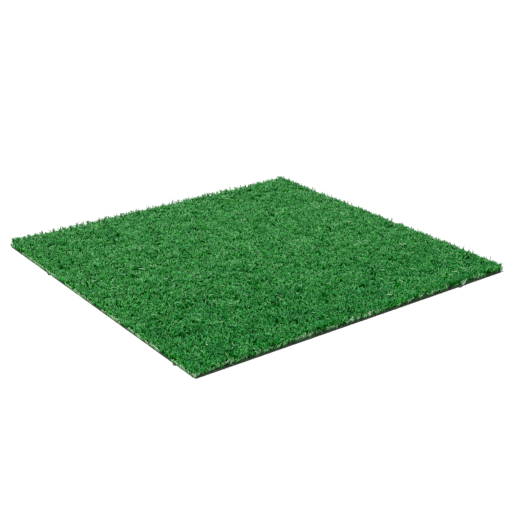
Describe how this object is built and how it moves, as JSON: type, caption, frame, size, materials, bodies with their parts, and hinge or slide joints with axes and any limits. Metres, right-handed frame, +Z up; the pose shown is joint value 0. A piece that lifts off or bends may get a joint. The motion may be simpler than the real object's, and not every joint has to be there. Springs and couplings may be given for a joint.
{
  "type": "golf hitting mat",
  "caption": "Square golf hitting mat of tufted curly artificial turf: rows of green pile yarn sewn through a woven backing, locked in latex on a thin rubber base.",
  "frame": {"origin": "on the floor under the middle of the mat", "axes": "+Z up through the pile, +Y along the tuft rows, +X across them"},
  "size_m": [0.5032, 0.5, 0.0133],
  "materials": {
    "pile": "satin",
    "backing_cloth": "matte",
    "latex": "matte",
    "base": "matte"
  },
  "bodies": {
    "root": {"rubber_base": "base", "latex_coat": "latex", "warp_tapes": "backing_cloth", "weft_tapes": "backing_cloth", "tuft_row_01": "pile", "tuft_row_02": "pile", "tuft_row_03": "pile", "tuft_row_04": "pile", "tuft_row_05": "pile", "tuft_row_06": "pile", "tuft_row_07": "pile", "tuft_row_08": "pile", "tuft_row_09": "pile", "tuft_row_10": "pile", "tuft_row_11": "pile", "tuft_row_12": "pile", "tuft_row_13": "pile", "tuft_row_14": "pile", "tuft_row_15": "pile", "tuft_row_16": "pile", "tuft_row_17": "pile", "tuft_row_18": "pile", "tuft_row_19": "pile", "tuft_row_20": "pile", "tuft_row_21": "pile", "tuft_row_22": "pile", "tuft_row_23": "pile", "tuft_row_24": "pile", "tuft_row_25": "pile", "tuft_row_26": "pile", "tuft_row_27": "pile", "tuft_row_28": "pile", "tuft_row_29": "pile", "tuft_row_30": "pile", "tuft_row_31": "pile", "tuft_row_32": "pile", "tuft_row_33": "pile", "tuft_row_34": "pile", "tuft_row_35": "pile", "tuft_row_36": "pile", "tuft_row_37": "pile", "tuft_row_38": "pile", "tuft_row_39": "pile", "tuft_row_40": "pile", "tuft_row_41": "pile", "tuft_row_42": "pile", "tuft_row_43": "pile", "tuft_row_44": "pile", "tuft_row_45": "pile", "tuft_row_46": "pile", "tuft_row_47": "pile", "tuft_row_48": "pile", "tuft_row_49": "pile", "tuft_row_50": "pile", "tuft_row_51": "pile", "tuft_row_52": "pile", "tuft_row_53": "pile"}
  },
  "joints": []
}
